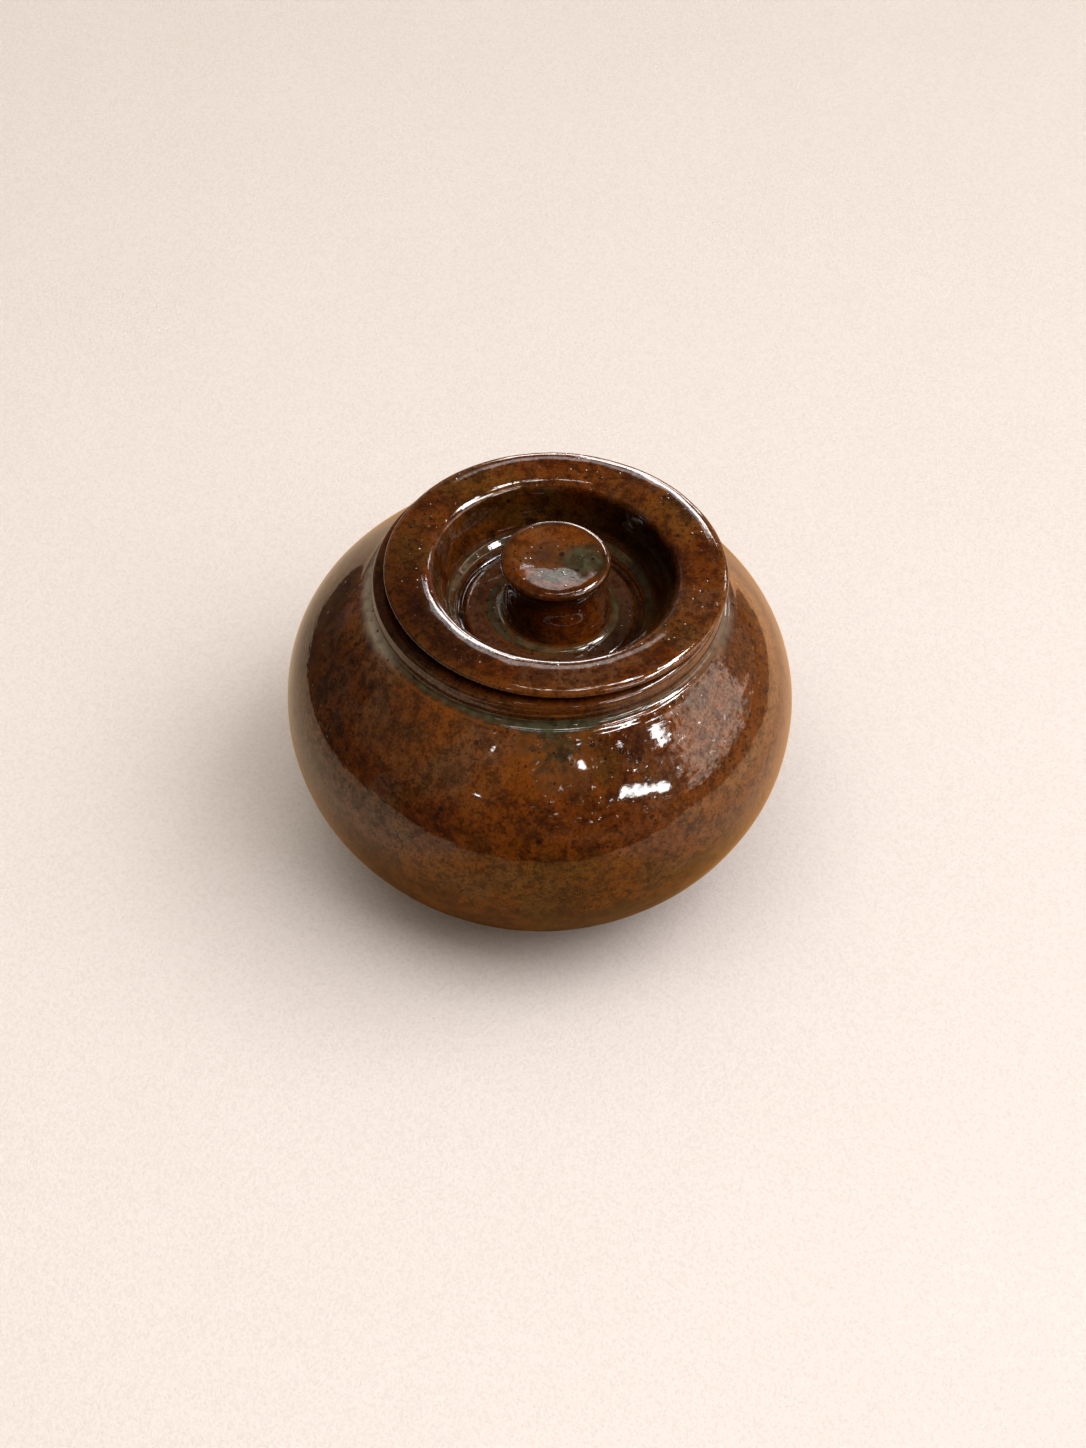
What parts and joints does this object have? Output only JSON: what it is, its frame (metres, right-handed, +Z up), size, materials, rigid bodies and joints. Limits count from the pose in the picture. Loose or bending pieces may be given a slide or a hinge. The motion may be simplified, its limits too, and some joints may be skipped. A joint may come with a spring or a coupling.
{
  "type": "lidded storage jar",
  "caption": "Squat glazed stoneware jar with a round belly, a collared mouth and a loose dish-shaped lid lifted by its centre knob.",
  "frame": {"origin": "on the ground plane, at the centre of the flat foot, under the jar's axis of turning", "axes": "+Z up along the jar's axis; +X to the right in the picture, the way the loose lid has slid in the mouth; the picture looks along +Y and down"},
  "size_m": [0.14, 0.14, 0.1043],
  "materials": {
    "jar_glaze": "glossy amber-brown ash and iron glaze with dark specks",
    "collar_glaze": "glossy amber-brown glaze with grey-green pools in the groove",
    "lid_glaze": "glossy amber-brown glaze, grey-green where it pools in the well",
    "knob_glaze": "glossy amber-brown glaze with a grey-green pool on the cap",
    "bare_clay": "unglazed fired clay, rough"
  },
  "bodies": {
    "jar": {"base_slab": "bare_clay", "jar_body": "jar_glaze", "neck_collar": "collar_glaze"},
    "lid": {"lid_dish": "lid_glaze", "lid_knob": "knob_glaze"}
  },
  "joints": [
    {"name": "lid_lift", "type": "slide", "parent": "jar", "child": "lid", "axis": [0, 0, 1], "range_m": [0, 0.08]}
  ]
}
